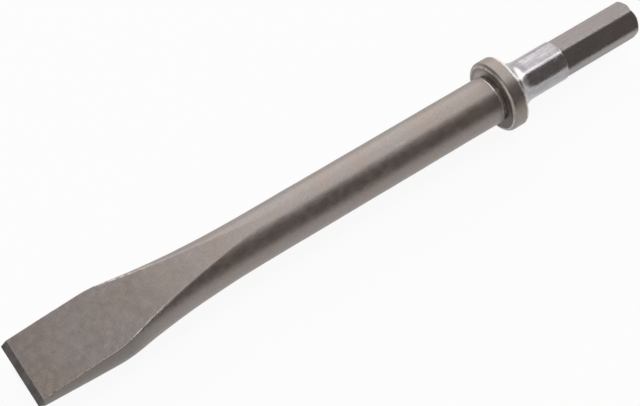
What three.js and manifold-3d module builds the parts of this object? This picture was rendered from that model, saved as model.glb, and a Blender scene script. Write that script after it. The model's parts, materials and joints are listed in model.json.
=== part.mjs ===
// Flat chisel for an air hammer: a hexagonal shank, a ground round neck, a
// retaining collar, a round body and a forged flat blade with a ground edge.
// The tool is one steel forging. Each zone that is made by its own operation is
// its own solid, and the solids meet face to face on planes square to the axis.
//
// Frame, in millimetres: +X runs along the tool's axis from the struck face to
// the cutting edge, +Z is square to the blade's flats and Y runs along the edge.
// The origin is the centre of the struck face.

import * as THREE from 'three';
import { mergeVertices } from 'three/addons/utils/BufferGeometryUtils.js';
import Module from 'manifold-3d';

const wasm = await Module();
wasm.setup();

// ---- Driving dimensions -------------------------------------------------

const totalLength = 281;

// Shank: hexagon and its chamfered struck end.
const hexAcrossFlats = 14.73;
const hexCornerRadius = 0.6;
const hexTurn = THREE.MathUtils.degToRad(10); // a corner's angle from +Z, towards +Y
const struckFaceRadius = 6.35;
const struckEndLength = 2.2; // the chamfer is at 45 degrees and ends before this

// Neck: ground round, with a 45 degree shoulder down to the hexagon.
const neckDiameter = 17.0;
const neckStart = 37.9;
const neckFilletRadius = 10.6;
const neckFilletLength = 9.2;

// Collar.
const collarBack = 63.7;
const collarThickness = 6.6;
const collarDiameter = 30.1;
const collarFrontRounding = 1.1;
const collarBackRounding = 0.5;

// Body: the round bar, with a relief groove and a rounded end at the collar.
const bodyDiameter = 20;
const grooveWidth = 0.8;
const grooveDepth = 1.4;

// Blade: the flats leave the bar smoothly, then taper in a straight line.
const flatsStart = 169;
const bevelStart = 278.6;
const bevelHalfThickness = 2.9;
const taperPerSide = 0.093; // loss of half thickness per length, about 5.3 degrees
const shoulderStation = 243.6; // where the blade reaches its full width
const flatHalfWidth = 13.6;
const flatSpread = [0, 2.95, 6.45, flatHalfWidth]; // Bezier heights, flatsStart to the shoulder
const sidesStart = 182.3;
const shoulderHalfWidth = 15; // at mid height, so the narrow sides are crowned
const sideSpread = [bodyDiameter / 2, bodyDiameter / 2, 11.4, shoulderHalfWidth];
const edgeHalfWidth = 13.9;
const edgeHalfThickness = 0.15; // half of the blunt land on the cutting edge
const edgeEndBulge = 0.08;

// Facets.
const roundSegments = 64;
const arcSteps = 5;
const sideSteps = 10;
const edgeSideSteps = 4;
const spreadSteps = 14;

// ---- Derived dimensions -------------------------------------------------

const hexInradius = hexAcrossFlats / 2;
const neckRadius = neckDiameter / 2;
const collarRadius = collarDiameter / 2;
const collarFront = collarBack + collarThickness;
const bodyRadius = bodyDiameter / 2;
const grooveFloor = bodyRadius - grooveDepth;

// ---- Materials ----------------------------------------------------------

function steel(name, color, roughness, metalness) {
  return new THREE.MeshStandardMaterial({ name, color, roughness, metalness });
}

const blastedSteel = () => steel('blasted_steel', 0x8a8078, 0.55, 0.85);
const darkGroundSteel = () => steel('dark_ground_steel', 0x4a443f, 0.4, 0.9);
const polishedSteel = () => steel('polished_steel', 0xc9c9cc, 0.2, 1.0);
const hexSteel = () => steel('hex_steel', 0x857f7b, 0.45, 0.9);
const brightSteel = () => steel('bright_steel', 0xd5d3d0, 0.3, 1.0);

// ---- Shape helpers ------------------------------------------------------

// Points on an arc in a profile of [station, radius] pairs, ends included.
function arc(station, radius, size, fromDegrees, toDegrees, steps = arcSteps) {
  const points = [];
  for (let i = 0; i <= steps; i += 1) {
    const angle = THREE.MathUtils.degToRad(fromDegrees + ((toDegrees - fromDegrees) * i) / steps);
    points.push([station + size * Math.cos(angle), radius + size * Math.sin(angle)]);
  }
  return points;
}

// A solid turned about the X axis from a profile of [station, radius] pairs.
function turned(profile) {
  const first = profile[0][0];
  const last = profile[profile.length - 1][0];
  const closed = [[first, 0], ...profile, [last, 0]];
  const points = closed.map(([station, radius]) => new THREE.Vector2(radius, station));
  return new THREE.LatheGeometry(points, roundSegments).rotateZ(-Math.PI / 2);
}

// The hexagonal bar between two stations, with slightly rounded corners.
function hexBar(start, end) {
  const circumradius = hexInradius / Math.cos(Math.PI / 6);
  const roundingCentre = circumradius - hexCornerRadius / Math.cos(Math.PI / 6);
  const outline = [];
  for (let corner = 0; corner < 6; corner += 1) {
    const direction = hexTurn + (corner * Math.PI) / 3;
    for (const offset of [-30, -10, 10, 30]) {
      const angle = direction + THREE.MathUtils.degToRad(offset);
      const across = roundingCentre * Math.cos(direction) + hexCornerRadius * Math.cos(angle);
      const along = roundingCentre * Math.sin(direction) + hexCornerRadius * Math.sin(angle);
      outline.push(new THREE.Vector2(-across, along));
    }
  }
  const bar = new THREE.ExtrudeGeometry(new THREE.Shape(outline), {
    depth: end - start,
    bevelEnabled: false,
  });
  // The outline's x becomes -Z and its y becomes Y as the bar turns onto the X axis.
  return bar.rotateY(Math.PI / 2).translate(start, 0, 0);
}

function toManifold(geometry) {
  const plain = geometry.clone();
  plain.deleteAttribute('normal');
  plain.deleteAttribute('uv');
  const merged = mergeVertices(plain, 1e-4);
  const index = merged.index.array;
  const triVerts = [];
  for (let i = 0; i < index.length; i += 3) {
    const [a, b, c] = [index[i], index[i + 1], index[i + 2]];
    if (a !== b && b !== c && c !== a) triVerts.push(a, b, c);
  }
  const vertProperties = new Float32Array(merged.attributes.position.array);
  const mesh = new wasm.Mesh({ numProp: 3, vertProperties, triVerts: new Uint32Array(triVerts) });
  return new wasm.Manifold(mesh);
}

function fromManifold(solid) {
  const mesh = solid.getMesh();
  const geometry = new THREE.BufferGeometry();
  geometry.setAttribute('position', new THREE.BufferAttribute(mesh.vertProperties, 3));
  geometry.setIndex(new THREE.BufferAttribute(mesh.triVerts, 1));
  geometry.computeVertexNormals();
  return geometry;
}

// A closed body through cross-sections that all have the same number of points.
// Each section is { station, points: [[y, z], ...] }, counter-clockwise seen from +X.
function loft(sections) {
  const count = sections[0].points.length;
  const positions = [];
  for (const { station, points } of sections) {
    for (const [y, z] of points) positions.push(station, y, z);
  }
  const index = [];
  for (let row = 0; row < sections.length - 1; row += 1) {
    for (let i = 0; i < count; i += 1) {
      const a = row * count + i;
      const b = row * count + ((i + 1) % count);
      index.push(a, b, b + count, a, b + count, a + count);
    }
  }
  const lastRow = (sections.length - 1) * count;
  for (let i = 1; i < count - 1; i += 1) {
    index.push(0, i + 1, i);
    index.push(lastRow, lastRow + i, lastRow + i + 1);
  }
  const geometry = new THREE.BufferGeometry();
  geometry.setAttribute('position', new THREE.Float32BufferAttribute(positions, 3));
  geometry.setIndex(index);
  geometry.computeVertexNormals();
  return geometry;
}

// ---- Blade outline ------------------------------------------------------

// The flats leave the bar on a parabola that ends tangent to the straight taper.
const parabolaLength =
  2 * (bevelStart - flatsStart) - (2 * (bodyRadius - bevelHalfThickness)) / taperPerSide;

function halfThickness(station) {
  if (station >= flatsStart + parabolaLength) {
    return bevelHalfThickness + taperPerSide * (bevelStart - station);
  }
  const run = station - flatsStart;
  return bodyRadius - (taperPerSide * run * run) / (2 * parabolaLength);
}

// A half width that swells along a Bezier curve between two stations. The
// control points are evenly spaced, so the curve's parameter is the distance run.
function swell(station, start, end, heights) {
  const run = THREE.MathUtils.clamp((station - start) / (end - start), 0, 1);
  const controls = heights.map((height) => new THREE.Vector2(0, height));
  return new THREE.CubicBezierCurve(...controls).getPoint(run).y;
}

function flatHalfWidthAt(station) {
  return swell(station, flatsStart, shoulderStation, flatSpread);
}

function middleHalfWidthAt(station) {
  if (station <= shoulderStation) {
    return swell(station, sidesStart, shoulderStation, sideSpread);
  }
  const progress = (station - shoulderStation) / (bevelStart - shoulderStation);
  return THREE.MathUtils.lerp(shoulderHalfWidth, edgeHalfWidth, progress);
}

// Two flats joined by two crowned sides. Each side is an arc through the edges
// of both flats that reaches the half width at mid height.
function bladeSection(station, flatHalf, middleHalf, halfHeight, steps = sideSteps) {
  const bulge = middleHalf - flatHalf;
  const sideRadius = (bulge * bulge + halfHeight * halfHeight) / (2 * bulge);
  const reach = Math.atan2(halfHeight, sideRadius - bulge);
  const points = [];
  for (const side of [1, -1]) {
    for (let i = 0; i <= steps; i += 1) {
      const angle = reach * ((2 * i) / steps - 1);
      const y = middleHalf - sideRadius + sideRadius * Math.cos(angle);
      const z = sideRadius * Math.sin(angle);
      points.push([side * y, side * z]);
    }
  }
  return { station, points };
}

// ---- Sub-parts ----------------------------------------------------------

function strikingEnd() {
  const cone = turned([
    [0, struckFaceRadius],
    [struckEndLength, struckFaceRadius + struckEndLength],
  ]);
  return fromManifold(toManifold(hexBar(0, struckEndLength)).intersect(toManifold(cone)));
}

function hexShank() {
  return hexBar(struckEndLength, neckStart);
}

// The hexagon's corners run out on the shoulder, so the neck carries them.
function neck() {
  const shoulderLength = neckRadius - hexInradius;
  const filletStart = collarBack - neckFilletLength;
  const filletDegrees = THREE.MathUtils.radToDeg(Math.asin(neckFilletLength / neckFilletRadius));
  const round = turned([
    [neckStart, hexInradius],
    [neckStart + shoulderLength, neckRadius],
    ...arc(
      filletStart,
      neckRadius + neckFilletRadius,
      neckFilletRadius,
      -90,
      -90 + filletDegrees,
      2 * arcSteps,
    ),
  ]);
  const corners = hexBar(neckStart, neckStart + shoulderLength);
  return fromManifold(toManifold(round).add(toManifold(corners)));
}

function collar() {
  const back = collarBackRounding;
  const front = collarFrontRounding;
  return turned([
    ...arc(collarBack + back, collarRadius - back, back, 180, 90, 3),
    ...arc(collarFront - front, collarRadius - front, front, 90, 0, 3),
  ]);
}

function body() {
  const rounding = grooveDepth;
  const grooveEnd = collarFront + grooveWidth;
  return turned([
    [collarFront, grooveFloor],
    [grooveEnd, grooveFloor],
    ...arc(grooveEnd + rounding, bodyRadius - rounding, rounding, 180, 90).slice(1),
    [flatsStart, bodyRadius],
  ]);
}

function blade() {
  // The first section is almost the full round.
  const firstHalfWidth = 0.4;
  const firstHeight = Math.sqrt(bodyRadius ** 2 - firstHalfWidth ** 2);
  const sections = [bladeSection(flatsStart, firstHalfWidth, bodyRadius, firstHeight)];
  for (let i = 1; i <= spreadSteps; i += 1) {
    const station = THREE.MathUtils.lerp(flatsStart, shoulderStation, i / spreadSteps);
    const flatHalf = flatHalfWidthAt(station);
    const middleHalf = middleHalfWidthAt(station);
    sections.push(bladeSection(station, flatHalf, middleHalf, halfThickness(station)));
  }
  sections.push(bladeSection(bevelStart, flatHalfWidth, edgeHalfWidth, bevelHalfThickness));
  return loft(sections);
}

// The bevels are ground straight, so the mid-plane keeps the blade's width.
function cuttingEdge() {
  const landHalfWidth = edgeHalfWidth - edgeEndBulge;
  return loft([
    bladeSection(bevelStart, flatHalfWidth, edgeHalfWidth, bevelHalfThickness, edgeSideSteps),
    bladeSection(totalLength, landHalfWidth, edgeHalfWidth, edgeHalfThickness, edgeSideSteps),
  ]);
}

// ---- Assembly -----------------------------------------------------------

const chisel = new THREE.Group();

function addPart(name, geometry, material) {
  const mesh = new THREE.Mesh(geometry, material);
  mesh.name = name;
  chisel.add(mesh);
}

addPart('striking_end', strikingEnd(), brightSteel());
addPart('hex_shank', hexShank(), hexSteel());
addPart('neck', neck(), polishedSteel());
addPart('collar', collar(), blastedSteel());
addPart('body', body(), blastedSteel());
addPart('blade', blade(), blastedSteel());
addPart('cutting_edge', cuttingEdge(), darkGroundSteel());

export default chisel;
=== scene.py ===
"""Looks for the flat chisel of an air hammer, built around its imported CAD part.

Frame, as in the CAD: +X runs along the tool's axis from the struck face to the
cutting edge, +Z is square to the blade's flats and Y runs along the edge.
Every zone of the tool is a finely lofted skin that stands for one CAD node.
"""

import json
import math

import bpy
import numpy as np
from mathutils import Matrix, Vector, noise


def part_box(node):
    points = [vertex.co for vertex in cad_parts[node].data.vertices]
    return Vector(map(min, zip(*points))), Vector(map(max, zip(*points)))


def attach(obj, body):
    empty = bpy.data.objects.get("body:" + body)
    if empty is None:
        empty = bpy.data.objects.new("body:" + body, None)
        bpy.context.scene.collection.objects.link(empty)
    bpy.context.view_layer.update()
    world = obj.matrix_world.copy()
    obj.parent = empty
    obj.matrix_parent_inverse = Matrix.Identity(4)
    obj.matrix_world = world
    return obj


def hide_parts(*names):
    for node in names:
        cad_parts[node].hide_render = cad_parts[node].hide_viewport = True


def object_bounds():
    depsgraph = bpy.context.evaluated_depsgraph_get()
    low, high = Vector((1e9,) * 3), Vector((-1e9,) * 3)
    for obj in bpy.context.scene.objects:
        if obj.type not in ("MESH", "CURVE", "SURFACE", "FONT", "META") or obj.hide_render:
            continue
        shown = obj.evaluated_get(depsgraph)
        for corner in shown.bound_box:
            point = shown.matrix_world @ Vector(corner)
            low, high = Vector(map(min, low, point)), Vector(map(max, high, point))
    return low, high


MM = 0.001

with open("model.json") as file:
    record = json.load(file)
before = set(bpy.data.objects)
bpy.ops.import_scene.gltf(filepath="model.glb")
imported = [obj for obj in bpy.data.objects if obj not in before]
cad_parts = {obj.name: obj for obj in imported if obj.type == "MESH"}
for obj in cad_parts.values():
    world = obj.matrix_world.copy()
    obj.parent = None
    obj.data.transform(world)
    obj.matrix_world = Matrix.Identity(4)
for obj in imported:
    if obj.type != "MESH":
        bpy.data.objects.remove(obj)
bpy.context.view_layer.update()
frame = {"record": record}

# ---- Dimensions from the CAD part -------------------------------------------


def start_of(node):
    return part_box(node)[0].x


def end_of(node):
    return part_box(node)[1].x


def radius_of(node):
    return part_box(node)[1].z


mounts = {mount["name"]: mount for mount in frame["record"]["mounts"]}
flat_centre = Vector(mounts["shank_flat"]["pos_m"])

hex_inradius = math.hypot(flat_centre.y, flat_centre.z)
hex_turn = math.atan2(flat_centre.y, flat_centre.z) - math.radians(30)
body_radius = radius_of("body")
collar_radius = radius_of("collar")
flats_start = start_of("blade")
bevel_start = end_of("blade")
total_length = end_of("cutting_edge")

# ---- Dimensions of the visible surfaces, in metres ---------------------------

STRUCK_FACE_RADIUS = 6.35 * MM
CHAMFER_ROUNDING = 0.2 * MM
HEX_CORNER_RADIUS = 2.0 * MM

NECK_RADIUS = 8.5 * MM
NECK_FILLET_RADIUS = 10.6 * MM
NECK_FILLET_LENGTH = 9.2 * MM
NECK_EDGE_ROUNDING = 0.25 * MM
NECK_SHOULDER_SLOPE = 0.3  # length of the shoulder over its height

COLLAR_FRONT_ROUNDING = 1.5 * MM
COLLAR_BACK_ROUNDING = 0.5 * MM
# Wear attribute on the collar's front face by depth in mm inside its edge: a darker ring, then lighter
# steel further in, which is painted light against the shade of the face near the body.
COLLAR_FACE_WEAR_AND_PAINTED_LIGHT = {0.15: 0.1, 0.5: -0.45, 0.9: -0.45, 1.3: -0.45, 1.9: 0.3, 3.5: 0.3, 5.5: 0.3}
COLLAR_PAINTED_SHADE_ANGLE = math.radians(115)  # painted shade on the face below the body, on the near side
COLLAR_PAINTED_SHADE = 1.4  # how far the painted shade lowers the wear at its middle
GROOVE_WIDTH = 0.8 * MM
GROOVE_DEPTH = 1.0 * MM

SHOULDER_STATION = 243.6 * MM
SHOULDER_ROUNDING = 5 * MM
BEVEL_HALF_THICKNESS = 2.9 * MM
TAPER_PER_SIDE = 0.093  # loss of half thickness per length
FLAT_SPREAD = [0, 2.95 * MM, 6.45 * MM, 13.6 * MM]  # control heights of the flats' half width
SIDES_START = 182.3 * MM
SIDE_SPREAD = [10 * MM, 10 * MM, 11.4 * MM, 15 * MM]  # the same for the half width at mid height
EDGE_HALF_WIDTH = 13.9 * MM
EDGE_HALF_THICKNESS = 0.15 * MM
EDGE_END_BULGE = 0.08 * MM
FLAT_EDGE_ROUNDING = 0.3 * MM
SOFT_EDGE_ROUNDING = 2.2 * MM
BLADE_SIDE_WEAR = -0.5  # the sides keep a darker skin than the flats
FORGED_WAVES = [(0.055 * MM, 11 * MM), (0.02 * MM, 3 * MM)]  # depth and size of the unevenness

COLUMNS = 360
AROUND = np.radians(np.arange(COLUMNS))  # angle from +Z, towards +Y
CAP_SHARES = [0.3, 0.6, 0.85, 0.97]  # sizes of the rings that fill a skin's two ends
SHARP_ANGLE = math.radians(38)

# ---- Skins --------------------------------------------------------------------


def circle(station, radius):
    """A ring with a point at each angle. Station and radius are numbers or one value per point."""
    ring = np.zeros((COLUMNS, 3))
    ring[:, 0] = station
    ring[:, 1] = radius * np.sin(AROUND)
    ring[:, 2] = radius * np.cos(AROUND)
    return ring


def shrunk(ring, share):
    """The ring drawn in towards its centre."""
    centre = ring.mean(axis=0)
    return centre + (ring - centre) * share


def forged(ring, share=1.0):
    """The ring with the shallow unevenness of a hammer-forged and blasted surface."""
    ahead = np.roll(ring, -1, axis=0)
    behind = np.roll(ring, 1, axis=0)
    tangent = ahead - behind
    normal = np.stack([np.zeros(len(ring)), -tangent[:, 2], tangent[:, 1]], axis=1)
    normal /= np.linalg.norm(normal, axis=1)[:, None]
    rise = [
        sum(depth * noise.noise(Vector(point) / size) for depth, size in FORGED_WAVES)
        for point in ring
    ]
    return ring + normal * (share * np.array(rise))[:, None]


class Skin:
    """A closed surface through rings of points, built from the first station to the last."""

    def __init__(self, name):
        self.name = name
        self.rings = []
        self.wear = []
        self.bands = []

    def ring(self, points, wear=0.0, band=0):
        """Adds a ring. Wear marks exposed edges and also carries painted light and shade: above zero it
        lightens towards bare steel, past one as a painted highlight, and below zero it darkens, as painted
        shade on the collar's face. Band is the material of the faces after the ring.
        """
        self.rings.append(points)
        self.wear.append(np.broadcast_to(wear, len(points)))
        self.bands.append(band)

    def build(self, node, materials):
        """Makes the mesh, with both ends closed, as the piece that replaces a CAD node."""
        first = [shrunk(self.rings[0], share) for share in CAP_SHARES]
        last = [shrunk(self.rings[-1], share) for share in reversed(CAP_SHARES)]
        rings = np.array([*first, *self.rings, *last])
        rows, count = rings.shape[:2]
        unworn = np.zeros((len(CAP_SHARES), count))
        wear = np.concatenate([unworn, np.array(self.wear), unworn])
        bands = [0] * len(first) + self.bands + [self.bands[-1]] * len(last)
        points = [rings.reshape(-1, 3), rings[:1].mean(axis=1), rings[-1:].mean(axis=1)]
        index = np.arange(rows * count).reshape(rows, count)
        following = np.roll(index, -1, axis=1)
        quads = np.stack([index[:-1], index[1:], following[1:], following[:-1]], axis=2)
        faces = quads.reshape(-1, 4).tolist()
        slots = np.repeat(bands[:-1], count).tolist()
        start_centre = rows * count
        end_centre = start_centre + 1
        for j in range(count):
            after = (j + 1) % count
            faces.append([start_centre, int(index[0, j]), int(index[0, after])])
            faces.append([int(index[-1, j]), end_centre, int(index[-1, after])])
            slots += [bands[0], bands[-1]]
        mesh = bpy.data.meshes.new(self.name)
        mesh.from_pydata(np.concatenate(points).tolist(), [], faces)
        mesh.polygons.foreach_set("material_index", slots)
        mesh.polygons.foreach_set("use_smooth", [True] * len(faces))
        mesh.set_sharp_from_angle(angle=SHARP_ANGLE)
        attribute = mesh.attributes.new("wear_and_painted_light", "FLOAT", "POINT")
        attribute.data.foreach_set("value", [*wear.ravel(), 0.0, 0.0])
        for material in materials:
            mesh.materials.append(material)
        piece = bpy.data.objects.new(self.name, mesh)
        bpy.context.scene.collection.objects.link(piece)
        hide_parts(node)
        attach(piece, "root")


def hex_radius(angles):
    """Distance from the axis to the hexagon with rounded corners, and the corners' wear, per angle."""
    sixth = math.radians(60)
    off_corner = np.abs((angles - hex_turn + sixth / 2) % sixth - sixth / 2)
    flat = hex_inradius / np.cos(sixth / 2 - off_corner)
    centre = (hex_inradius - HEX_CORNER_RADIUS) / math.cos(sixth / 2)
    reach = HEX_CORNER_RADIUS**2 - (centre * np.sin(off_corner)) ** 2
    corner = centre * np.cos(off_corner) + np.sqrt(np.maximum(reach, 0))
    rounded_to = math.atan2(HEX_CORNER_RADIUS / 2, centre + HEX_CORNER_RADIUS * math.cos(sixth / 2))
    wear = np.clip(1 - off_corner / (1.6 * rounded_to), 0, 1)
    return np.where(off_corner < rounded_to, corner, flat), wear


def corner_curve(before, corner, after, steps=6):
    """Points on a quadratic curve that rounds the corner between two points of a profile."""
    curve = []
    for i in range(steps + 1):
        t = i / steps
        curve.append([
            (1 - t) ** 2 * a + 2 * t * (1 - t) * b + t**2 * c
            for a, b, c in zip(before, corner, after)
        ])
    return curve


def arc(station, radius, size, from_degrees, to_degrees, steps=10):
    """Points [station, radius] on an arc of a turned profile."""
    angles = np.radians(np.linspace(from_degrees, to_degrees, steps + 1))
    return [[station + size * math.cos(a), radius + size * math.sin(a)] for a in angles]


def striking_end(bright, hex_steel):
    """The matt struck face and its bright chamfer, which meets the hexagon's flats in shallow scallops."""
    skin = Skin("steel_striking_end")
    start = start_of("striking_end")
    hexagon, corner_wear = hex_radius(AROUND)
    meeting = start + hexagon - STRUCK_FACE_RADIUS
    lip = 0.25 * MM
    face_edge = corner_curve(
        [start, STRUCK_FACE_RADIUS - lip],
        [start, STRUCK_FACE_RADIUS],
        [start + lip * 0.7, STRUCK_FACE_RADIUS + lip * 0.7],
    )
    for station, radius in face_edge:
        skin.ring(circle(station, radius), wear=1.0, band=1)
    reach = CHAMFER_ROUNDING
    scallop = corner_curve(
        [meeting - reach, hexagon - reach],
        [meeting, hexagon],
        [meeting + reach, hexagon],
    )
    for i, (station, radius) in enumerate(scallop):
        skin.ring(circle(station, radius), wear=0.8, band=int(i < len(scallop) // 2))
    skin.ring(circle(end_of("striking_end"), hexagon), wear=corner_wear)
    skin.build("striking_end", [hex_steel, bright])


def hex_shank(hex_steel):
    """The plain length of the hexagon, with worn corners."""
    skin = Skin("steel_hex_shank")
    hexagon, corner_wear = hex_radius(AROUND)
    for station in np.linspace(start_of("hex_shank"), end_of("hex_shank"), 40):
        skin.ring(circle(station, hexagon), wear=corner_wear)
    skin.build("hex_shank", [hex_steel])


def neck(polished):
    """The hexagon's corners run out on the shoulder, then the ground round swells to the collar."""
    skin = Skin("steel_neck")
    start = start_of("neck")
    hexagon, _ = hex_radius(AROUND)
    shoulder_gap = 0.05 * MM
    meeting = start + shoulder_gap + (hexagon - hex_inradius) * NECK_SHOULDER_SLOPE
    shoulder_end = start + shoulder_gap + (NECK_RADIUS - hex_inradius) * NECK_SHOULDER_SLOPE
    skin.ring(circle(start, hexagon))
    skin.ring(circle(meeting, hexagon))
    reach = np.minimum(NECK_EDGE_ROUNDING, (NECK_RADIUS - hexagon) * 0.9)
    for station, radius in corner_curve(
        [shoulder_end - reach * NECK_SHOULDER_SLOPE, NECK_RADIUS - reach],
        [shoulder_end, NECK_RADIUS],
        [shoulder_end + NECK_EDGE_ROUNDING, NECK_RADIUS],
    ):
        skin.ring(circle(station, radius))
    fillet_start = end_of("neck") - NECK_FILLET_LENGTH
    turn = math.degrees(math.asin(NECK_FILLET_LENGTH / NECK_FILLET_RADIUS))
    for station in np.linspace(shoulder_end + 1 * MM, fillet_start - 1 * MM, 8):
        skin.ring(circle(station, NECK_RADIUS))
    fillet_centre = NECK_RADIUS + NECK_FILLET_RADIUS
    for station, radius in arc(fillet_start, fillet_centre, NECK_FILLET_RADIUS, -90, turn - 90, 28):
        skin.ring(circle(station, radius))
    skin.build("neck", [polished])


def collar(blasted):
    """The ring with rounded edges, with a painted highlight on its back edge, and painted light and
    painted shade on its front face.
    """
    skin = Skin("steel_collar")
    back = COLLAR_BACK_ROUNDING
    front = COLLAR_FRONT_ROUNDING
    start = start_of("collar")
    end = end_of("collar")
    # The back edge's wear is set well above one: worn bare steel pushed to a painted highlight line.
    for station, radius in arc(start + back, collar_radius - back, back, 180, 90):
        skin.ring(circle(station, radius), wear=2.5)
    for station in np.linspace(start + 2 * back, end - 2 * front, 12):
        skin.ring(forged(circle(station, collar_radius), 0.8))
    rounding = arc(end - front, collar_radius - front, front, 90, 0, 12)
    for i, (station, radius) in enumerate(rounding):
        meets_face = i >= 9
        skin.ring(circle(station, radius), wear=0.5 * meets_face)
    # Painted shade: the face is darkened below the body, on the near side.
    stain_and_painted_shade = np.clip(np.cos(AROUND - COLLAR_PAINTED_SHADE_ANGLE), 0, 1) ** 2
    # The face's rings: a darker ring, then painted light further in, less the painted shade below the
    # body.
    for depth, wear in COLLAR_FACE_WEAR_AND_PAINTED_LIGHT.items():
        skin.ring(circle(end, collar_radius - front - depth * MM), wear=wear - COLLAR_PAINTED_SHADE * stain_and_painted_shade)
    skin.build("collar", [blasted])


def body(blasted):
    """The round bar, with a relief groove at the collar and its end rounded off."""
    skin = Skin("steel_body")
    start = start_of("body")
    rounding = GROOVE_DEPTH
    groove_end = start + GROOVE_WIDTH
    # The groove is lightened as bare turned steel, partly painted light against the shade in the groove.
    skin.ring(circle(start, body_radius - GROOVE_DEPTH), wear=0.7)
    skin.ring(circle(groove_end - 0.2 * MM, body_radius - GROOVE_DEPTH), wear=0.7)
    # Its rounded end is lightened too, and past one where it meets the bar: bare steel pushed to a painted
    # highlight crescent.
    shoulder = arc(groove_end + rounding, body_radius - rounding, rounding, 180, 90, 14)
    for i, (station, radius) in enumerate(shoulder):
        meets_bar = i >= 8
        skin.ring(circle(station, radius), wear=3.0 if meets_bar else 0.3)
    for station in np.linspace(groove_end + 1.5 * rounding, flats_start, 110):
        skin.ring(forged(circle(station, body_radius)))
    skin.build("body", [blasted])


# ---- Blade --------------------------------------------------------------------

parabola_length = (
    2 * (bevel_start - flats_start) - 2 * (body_radius - BEVEL_HALF_THICKNESS) / TAPER_PER_SIDE
)


def half_thickness(station):
    """The flats leave the bar on a parabola that ends tangent to the straight taper."""
    if station >= flats_start + parabola_length:
        return BEVEL_HALF_THICKNESS + TAPER_PER_SIDE * (bevel_start - station)
    run = station - flats_start
    return body_radius - TAPER_PER_SIDE * run**2 / (2 * parabola_length)


def swell(station, start, end, heights):
    """A half width that follows a Bezier curve through its control heights between two stations."""
    t = min(max((station - start) / (end - start), 0), 1)
    weights = [(1 - t) ** 3, 3 * t * (1 - t) ** 2, 3 * t**2 * (1 - t), t**3]
    return sum(weight * height for weight, height in zip(weights, heights))


def half_widths(station):
    """Half widths of the blade across its flats and at mid height."""
    flat = swell(station, flats_start, SHOULDER_STATION, FLAT_SPREAD)
    middle = swell(station, SIDES_START, SHOULDER_STATION, SIDE_SPREAD)
    if station > SHOULDER_STATION:
        progress = (station - SHOULDER_STATION) / (bevel_start - SHOULDER_STATION)
        middle += (EDGE_HALF_WIDTH - middle) * progress
    return flat, middle


def rounded_half_widths(station):
    """The half widths with the corner at the shoulder rounded off."""
    reach = min(SHOULDER_ROUNDING, station - flats_start, bevel_start - station)
    nearby = station + reach * np.linspace(-1, 1, 9)
    return np.mean([half_widths(place) for place in nearby], axis=0)


def blade_ring(station, flat_half, middle_half, half_height, rounding):
    """A ring of two flats and two crowned sides, with the edges between them rounded, and its wear."""
    bulge = middle_half - flat_half
    side_radius = (bulge**2 + half_height**2) / (2 * bulge)
    side_centre = middle_half - side_radius
    inset = (side_radius - rounding) ** 2 - (half_height - rounding) ** 2
    edge_centre = max(side_centre + math.sqrt(max(inset, 0)), 0.02 * MM)
    edge_angle = math.atan2(half_height - rounding, edge_centre - side_centre)
    spread = np.sin(np.linspace(-1, 1, 41) * math.pi / 2)[:-1]
    points = []
    wear = []

    def edge(height, from_angle, to_angle):
        """One rounded edge, whose centre is at that height."""
        for angle in np.linspace(from_angle, to_angle, 9)[:-1]:
            y = edge_centre + rounding * math.cos(angle)
            points.append([y, height + rounding * math.sin(angle)])
            wear.append(1.0)

    for share in spread:
        points.append([edge_centre * share, half_height])
        wear.append(0.0)
    edge(half_height - rounding, math.pi / 2, edge_angle)
    for share in spread:
        angle = -edge_angle * share
        points.append([side_centre + side_radius * math.cos(angle), side_radius * math.sin(angle)])
        wear.append(BLADE_SIDE_WEAR)
    edge(rounding - half_height, -edge_angle, -math.pi / 2)
    half = np.array(points)
    both = np.concatenate([half, -half])
    ring = np.column_stack([np.full(len(both), station), both])
    return ring, np.array(wear + wear)


def blade(blasted):
    """Flats whose edges are soft where they leave the bar and sharpen towards the shoulder."""
    skin = Skin("steel_blade")
    for station in np.linspace(flats_start, bevel_start, 170):
        flat, middle = rounded_half_widths(station)
        progress = min((station - flats_start) / (SHOULDER_STATION - flats_start), 1)
        rounding = SOFT_EDGE_ROUNDING + (FLAT_EDGE_ROUNDING - SOFT_EDGE_ROUNDING) * progress**7
        ring, wear = blade_ring(station, flat, middle, half_thickness(station), rounding)
        skin.ring(forged(ring), wear=wear * progress**4)
    skin.build("blade", [blasted])


def cutting_edge(ground):
    """Two bevels ground straight across the blade's end, with a narrow blunt land."""
    skin = Skin("steel_cutting_edge")
    slope = (BEVEL_HALF_THICKNESS - EDGE_HALF_THICKNESS) / (total_length - bevel_start)
    lip = 0.16 * MM
    profile = corner_curve(
        [bevel_start, BEVEL_HALF_THICKNESS],
        [bevel_start + lip * 0.4, BEVEL_HALF_THICKNESS - lip * 0.04],
        [bevel_start + lip, BEVEL_HALF_THICKNESS - lip * slope],
        4,
    )
    profile += [
        [station, BEVEL_HALF_THICKNESS - slope * (station - bevel_start)]
        for station in np.linspace(bevel_start + 2 * lip, total_length - 0.1 * MM, 12)
    ]
    profile.append([total_length, EDGE_HALF_THICKNESS * 0.6])
    for i, (station, height) in enumerate(profile):
        progress = (station - bevel_start) / (total_length - bevel_start)
        flat = FLAT_SPREAD[-1] + (EDGE_HALF_WIDTH - EDGE_END_BULGE - FLAT_SPREAD[-1]) * progress
        rounding = min(FLAT_EDGE_ROUNDING, height * 0.4)
        ring, wear = blade_ring(station, flat, EDGE_HALF_WIDTH, height, rounding)
        on_edge = i < 4 or i >= len(profile) - 2
        lip_wear = 0.9 if on_edge else 0.0
        skin.ring(forged(ring, 1 - progress), wear=np.maximum(wear * 0.5, lip_wear))
    skin.build("cutting_edge", [ground])


# ---- Node trees -----------------------------------------------------------------


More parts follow.
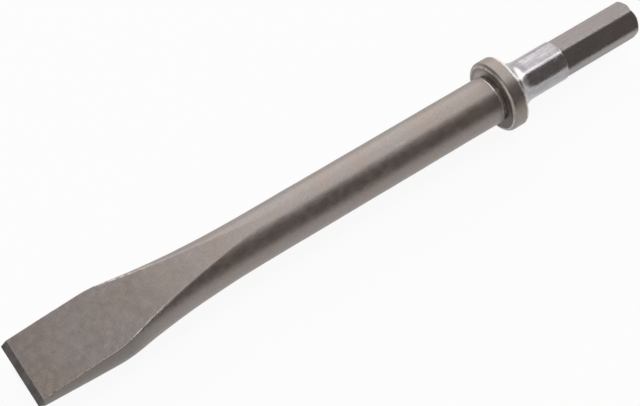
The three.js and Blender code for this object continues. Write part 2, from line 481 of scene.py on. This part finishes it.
class Nodes:
    """Short calls for building the node tree of a material or a world."""

    def __init__(self, owner, coordinates="Object"):
        owner.use_nodes = True
        self.owner = owner
        self.tree = owner.node_tree
        self.tree.nodes.clear()
        self.position = self.node("ShaderNodeTexCoord").outputs[coordinates]

    def node(self, kind, **settings):
        made = self.tree.nodes.new(kind)
        for key, value in settings.items():
            setattr(made, key, value)
        return made

    def feed(self, socket, value):
        """Links a socket, or sets a constant on it."""
        if isinstance(value, bpy.types.NodeSocket):
            self.tree.links.new(value, socket)
        else:
            socket.default_value = value

    def coordinate(self, axis):
        """One coordinate of the position, X, Y or Z."""
        split = self.node("ShaderNodeSeparateXYZ")
        self.feed(split.inputs["Vector"], self.position)
        return split.outputs[axis]

    def noise(self, size, detail=3.0, roughness=0.55, stretch=None, turn=(0, 0, 0)):
        """Noise whose features are about that size in metres. Stretch makes them longer along an axis."""
        vector = self.position
        if stretch is not None:
            mapping = self.node("ShaderNodeMapping", vector_type="TEXTURE")
            self.feed(mapping.inputs["Vector"], self.position)
            mapping.inputs["Rotation"].default_value = turn
            mapping.inputs["Scale"].default_value = stretch
            vector = mapping.outputs["Vector"]
        made = self.node("ShaderNodeTexNoise")
        self.feed(made.inputs["Vector"], vector)
        made.inputs["Scale"].default_value = 1 / size
        made.inputs["Detail"].default_value = detail
        made.inputs["Roughness"].default_value = roughness
        return made.outputs["Fac"]

    def remap(self, value, low, high, to_low, to_high):
        """A smooth step from one level to another while the value goes from low to high."""
        made = self.node("ShaderNodeMapRange", interpolation_type="SMOOTHSTEP")
        self.feed(made.inputs["Value"], value)
        made.inputs["From Min"].default_value = low
        made.inputs["From Max"].default_value = high
        made.inputs["To Min"].default_value = to_low
        made.inputs["To Max"].default_value = to_high
        return made.outputs["Result"]

    def math(self, operation, first, second):
        made = self.node("ShaderNodeMath", operation=operation)
        self.feed(made.inputs[0], first)
        self.feed(made.inputs[1], second)
        return made.outputs["Value"]

    def product(self, first, *others):
        for other in others:
            first = self.math("MULTIPLY", first, other)
        return first

    def total(self, first, *others):
        for other in others:
            first = self.math("ADD", first, other)
        return first

    def mix(self, share, first, second):
        made = self.node("ShaderNodeMix", data_type="RGBA")
        self.feed(made.inputs["Factor"], share)
        self.feed(made.inputs["A"], first)
        self.feed(made.inputs["B"], second)
        return made.outputs["Result"]

    def scale_colour(self, colour, share):
        """The colour made lighter or darker."""
        made = self.node("ShaderNodeVectorMath", operation="SCALE")
        self.feed(made.inputs[0], colour)
        self.feed(made.inputs["Scale"], share)
        return made.outputs["Vector"]

    def wear_and_painted_light(self, low=0.42, high=0.62):
        """Wear on exposed edges, broken up by noise. It also carries the painted highlights and painted
        light set on the collar and the body's end.
        """
        made = self.node("ShaderNodeAttribute", attribute_name="wear_and_painted_light")
        patches = self.remap(self.noise(1.6 * MM, 4), low, high, 0.0, 1.0)
        return self.product(made.outputs["Fac"], patches)

    def grime_and_painted_shade(self):
        """A factor that darkens where the wear attribute is below zero: the blade's sides, a ring on the
        collar's face, and painted shade on that face below the body.
        """
        made = self.node("ShaderNodeAttribute", attribute_name="wear_and_painted_light")
        return self.remap(made.outputs["Fac"], -1.0, 0.0, 0.4, 1.0)

    def bump(self, height, depth, below=None):
        """The surface normal after bumps of that depth in metres, on top of those below."""
        made = self.node("ShaderNodeBump")
        self.feed(made.inputs["Height"], height)
        made.inputs["Distance"].default_value = depth
        made.inputs["Strength"].default_value = 1.0
        if below is not None:
            self.feed(made.inputs["Normal"], below)
        return made.outputs["Normal"]

    def finish(self, colour, roughness, normal):
        """Ends a material as bare metal and returns it."""
        surface = self.node("ShaderNodeBsdfPrincipled")
        self.feed(surface.inputs["Base Color"], colour)
        surface.inputs["Metallic"].default_value = 1.0
        self.feed(surface.inputs["Roughness"], roughness)
        self.feed(surface.inputs["Normal"], normal)
        output = self.node("ShaderNodeOutputMaterial")
        self.feed(output.inputs["Surface"], surface.outputs["BSDF"])
        return self.owner


def material_nodes(name):
    """The empty node tree of a new material."""
    return Nodes(bpy.data.materials.new(name))


# ---- Materials ------------------------------------------------------------------


def blasted_steel():
    """Forged steel cleaned by blasting: taupe, matt, finely speckled, with pits and handling scratches."""
    shader = material_nodes("blasted_steel")
    clouds = shader.noise(14 * MM, 4)
    patches = shader.noise(2.6 * MM, 4, 0.6)
    grain = shader.noise(0.45 * MM, 3, 0.6)
    colour = shader.mix(
        shader.remap(clouds, 0.35, 0.65, 0.0, 1.0),
        (0.278, 0.241, 0.219, 1),
        (0.274, 0.248, 0.235, 1),
    )
    shade = shader.product(
        shader.remap(patches, 0.3, 0.7, 0.93, 1.07),
        shader.remap(grain, 0.3, 0.7, 0.90, 1.10),
        shader.remap(shader.noise(1.1 * MM, 2), 0.66, 0.74, 1.0, 0.72),  # pits
        shader.grime_and_painted_shade(),
    )
    colour = shader.scale_colour(colour, shade)
    strokes = shader.noise(0.35 * MM, 1, stretch=(12, 1, 1), turn=(0, 0, math.radians(24)))
    scratches = shader.product(
        shader.remap(strokes, 0.68, 0.76, 0.0, 0.3),
        shader.remap(clouds, 0.48, 0.6, 0.0, 1.0),
    )
    # Above zero the wear attribute gives worn bare steel, and also painted light on the collar's face and
    # the body's groove and painted highlights on the collar's back edge and the body's end.
    wear = shader.remap(shader.wear_and_painted_light(0.3, 0.6), 0.0, 1.0, 0.0, 1.0)  # kept within 0 and 1
    bare_and_painted_light = shader.math("MAXIMUM", shader.product(wear, 0.8), scratches)
    colour = shader.mix(bare_and_painted_light, colour, (0.66, 0.62, 0.59, 1))
    roughness = shader.math(
        "SUBTRACT",
        shader.remap(patches, 0.3, 0.7, 0.38, 0.47),
        shader.product(bare_and_painted_light, 0.12),
    )
    normal = shader.bump(patches, 0.05 * MM)
    normal = shader.bump(grain, 0.018 * MM, normal)
    return shader.finish(colour, roughness, normal)


def hex_shank_steel():
    """Cold drawn hexagon bar, lightly blasted."""
    shader = material_nodes("hex_steel")
    clouds = shader.noise(7 * MM, 4)
    drawn = shader.noise(0.5 * MM, 3, stretch=(14, 1, 1))
    grain = shader.noise(0.5 * MM, 3, 0.6)
    colour = shader.mix(
        shader.remap(clouds, 0.35, 0.65, 0.0, 1.0),
        (0.234, 0.207, 0.201, 1),
        (0.228, 0.211, 0.206, 1),
    )
    shade = shader.product(
        shader.remap(drawn, 0.3, 0.7, 0.95, 1.05),
        shader.remap(grain, 0.3, 0.7, 0.88, 1.12),
    )
    colour = shader.scale_colour(colour, shade)
    wear = shader.wear_and_painted_light(0.38, 0.6)
    colour = shader.mix(shader.product(wear, 0.3), colour, (0.40, 0.38, 0.37, 1))
    roughness = shader.remap(grain, 0.3, 0.7, 0.36, 0.45)
    normal = shader.bump(grain, 0.015 * MM)
    normal = shader.bump(drawn, 0.01 * MM, normal)
    return shader.finish(colour, roughness, normal)


def polished_steel():
    """Ground round: fine turns about the axis, with mottled polish and streaks along it."""
    shader = material_nodes("polished_steel")
    mottle = shader.noise(3.2 * MM, 4, 0.6)
    turns = shader.noise(0.3 * MM, 2, stretch=(1, 25, 25))
    streaks = shader.noise(0.9 * MM, 3, stretch=(9, 1, 1))
    colour = shader.mix(
        shader.remap(mottle, 0.35, 0.65, 0.0, 1.0),
        (0.345, 0.328, 0.346, 1),
        (0.385, 0.372, 0.383, 1),
    )
    shade = shader.product(
        shader.remap(turns, 0.3, 0.7, 0.95, 1.05),
        shader.remap(streaks, 0.3, 0.7, 0.90, 1.10),
    )
    colour = shader.scale_colour(colour, shade)
    roughness = shader.remap(mottle, 0.35, 0.65, 0.15, 0.23)
    normal = shader.bump(mottle, 0.04 * MM)
    normal = shader.bump(streaks, 0.05 * MM, normal)
    normal = shader.bump(turns, 0.004 * MM, normal)
    return shader.finish(colour, roughness, normal)


def bright_steel():
    """The freshly turned chamfer round the struck face."""
    shader = material_nodes("bright_steel")
    turns = shader.noise(0.4 * MM, 3)
    smears = shader.noise(2 * MM, 3)
    colour = shader.mix(
        shader.remap(smears, 0.4, 0.7, 0.0, 1.0),
        (0.92, 0.91, 0.90, 1),
        (0.74, 0.72, 0.71, 1),
    )
    roughness = shader.remap(turns, 0.3, 0.7, 0.32, 0.42)
    return shader.finish(colour, roughness, shader.bump(turns, 0.012 * MM))


def ground_steel():
    """Bevel ground across the edge, coloured nearly black: painted shade in place of the dark surroundings
    it reflects.
    """
    shader = material_nodes("ground_steel")
    strokes = shader.noise(0.3 * MM, 3, stretch=(20, 1, 20))
    stain_and_painted_shade = shader.noise(5 * MM, 4)
    # Painted shade: the bevel's colours are nearly black.
    colour = shader.mix(
        shader.remap(stain_and_painted_shade, 0.35, 0.65, 0.0, 1.0),
        (0.088, 0.078, 0.077, 1),
        (0.122, 0.111, 0.110, 1),
    )
    colour = shader.scale_colour(colour, shader.remap(strokes, 0.3, 0.7, 0.85, 1.15))
    wear = shader.wear_and_painted_light(0.4, 0.6)
    colour = shader.mix(shader.product(wear, 0.5), colour, (0.30, 0.28, 0.27, 1))
    roughness = shader.remap(strokes, 0.3, 0.7, 0.40, 0.52)
    return shader.finish(colour, roughness, shader.bump(strokes, 0.012 * MM))


# ---- Studio ---------------------------------------------------------------------

WALL_STRENGTH = 0.2  # the unlit side of the room
WALL_COLOUR = (1.0, 0.88, 0.84, 1)
SOFT_LIGHT = 2.36  # the wide soft light behind the tool
STRIP_LIGHT = 2.2  # the narrow brighter strip at its near edge
BACK_LIGHT = 2.6  # the window beyond the struck end
FRONT_LIGHT = 2.2  # the lamp beyond the cutting edge, on the near side


def studio_floor():
    """A pale glowing sheet, on which shadows stay faint, with a painted shadow under the tool: a strip
    where the glow is dimmed.
    """
    half = 2.0
    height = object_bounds()[0].z
    corners = [(-half, -half, 0), (half, -half, 0), (half, half, 0), (-half, half, 0)]
    mesh = bpy.data.meshes.new("floor")
    mesh.from_pydata(corners, [], [(0, 1, 2, 3)])
    floor = bpy.data.objects.new("floor", mesh)
    floor.location = (total_length / 2 - 4 * MM, -7 * MM, height)
    bpy.context.scene.collection.objects.link(floor)
    shader = material_nodes("floor_sheet")
    surface = shader.node("ShaderNodeBsdfPrincipled")
    surface.inputs["Base Color"].default_value = (0.07, 0.07, 0.07, 1)
    surface.inputs["Roughness"].default_value = 1.0
    surface.inputs["Specular IOR Level"].default_value = 0.0
    surface.inputs["Emission Color"].default_value = (1, 1, 1, 1)
    off_line = shader.math("ABSOLUTE", shader.coordinate("Y"), 0.0)
    off_middle = shader.math("ABSOLUTE", shader.coordinate("X"), 0.0)
    strip_half = total_length / 2
    # Painted shadow: the glow fades to dim in a strip along the tool, offset towards its far side.
    painted_shadow = shader.product(
        shader.remap(off_line, 3 * MM, 11 * MM, 1.0, 0.0),
        shader.remap(off_middle, strip_half - 6 * MM, strip_half + 6 * MM, 1.0, 0.0),
    )
    glow = shader.remap(painted_shadow, 0.0, 1.0, 0.92, 0.08)
    shader.feed(surface.inputs["Emission Strength"], glow)
    output = shader.node("ShaderNodeOutputMaterial")
    shader.feed(output.inputs["Surface"], surface.outputs["BSDF"])
    mesh.materials.append(shader.owner)


def studio_light():
    """A dim room with lights at infinity, placed by two measures of their direction.

    Along goes from -1 beyond the struck face to 1 beyond the cutting edge. Far side is about
    zero overhead, below zero towards the near side and 1 level with the tool on its far side.
    """
    world = bpy.data.worlds.new("studio")
    bpy.context.scene.world = world
    sky = Nodes(world, "Generated")
    along = sky.coordinate("X")
    lean = sky.node("ShaderNodeVectorMath", operation="DOT_PRODUCT")
    sky.feed(lean.inputs[0], sky.position)
    lean.inputs[1].default_value = (0, -1, 0.1)
    far_side = lean.outputs["Value"]

    wide_light = sky.product(
        sky.remap(far_side, -0.09, 0.17, 0.0, SOFT_LIGHT),
        sky.remap(far_side, 0.50, 0.85, 1.0, 1.2),
        sky.remap(along, -0.30, 0.13, 1.0, 0.05),
        sky.remap(along, -0.48, -0.39, 0.50, 1.0),
    )
    bright_strip = sky.product(
        sky.remap(far_side, 0.0, 0.06, 0.0, STRIP_LIGHT),
        sky.remap(far_side, 0.13, 0.19, 1.0, 0.0),
    )
    window = sky.product(
        sky.remap(along, -0.92, -0.72, BACK_LIGHT, 0.0),
        sky.remap(far_side, -0.10, 0.15, 0.12, 1.0),
    )
    lamp = sky.product(
        sky.remap(along, 0.60, 0.85, 0.0, FRONT_LIGHT),
        sky.remap(far_side, 0.05, 0.25, 1.0, 0.0),
    )
    lights = sky.node("ShaderNodeBackground")
    sky.feed(lights.inputs["Strength"], sky.total(wide_light, bright_strip, window, lamp))
    walls = sky.node("ShaderNodeBackground")
    walls.inputs["Color"].default_value = WALL_COLOUR
    walls.inputs["Strength"].default_value = WALL_STRENGTH
    room = sky.node("ShaderNodeAddShader")
    sky.feed(room.inputs[0], lights.outputs["Background"])
    sky.feed(room.inputs[1], walls.outputs["Background"])
    output = sky.node("ShaderNodeOutputWorld")
    sky.feed(output.inputs["Surface"], room.outputs["Shader"])


def camera():
    """Looks down on the tool from beyond its near side, with the cutting edge at the lower left."""
    target = Vector((0.15324, 0.00129, 0))
    distance = 0.5679
    azimuth = math.radians(54.53)
    elevation = math.radians(59.97)
    roll = math.radians(-1.13)
    back = Vector((
        math.cos(azimuth) * math.cos(elevation),
        math.sin(azimuth) * math.cos(elevation),
        math.sin(elevation),
    ))
    level_right = Vector((0, 0, 1)).cross(back).normalized()
    level_up = back.cross(level_right)
    up = level_up * math.cos(roll) + level_right * math.sin(roll)
    right = up.cross(back)
    data = bpy.data.cameras.new("camera")
    data.sensor_width = 36
    data.lens = 84.67
    data.clip_start = 0.01
    made = bpy.data.objects.new("camera", data)
    turn = Matrix((right, up, back)).transposed().to_4x4()
    made.matrix_world = Matrix.Translation(target + back * distance) @ turn
    bpy.context.scene.collection.objects.link(made)
    bpy.context.scene.camera = made


# ---- Scene ------------------------------------------------------------------------

hexagon_finish = hex_shank_steel()
forged_finish = blasted_steel()

striking_end(bright_steel(), hexagon_finish)
hex_shank(hexagon_finish)
neck(polished_steel())
collar(forged_finish)
body(forged_finish)
blade(forged_finish)
cutting_edge(ground_steel())

studio_floor()
studio_light()
camera()
bpy.context.scene.view_settings.view_transform = "Standard"
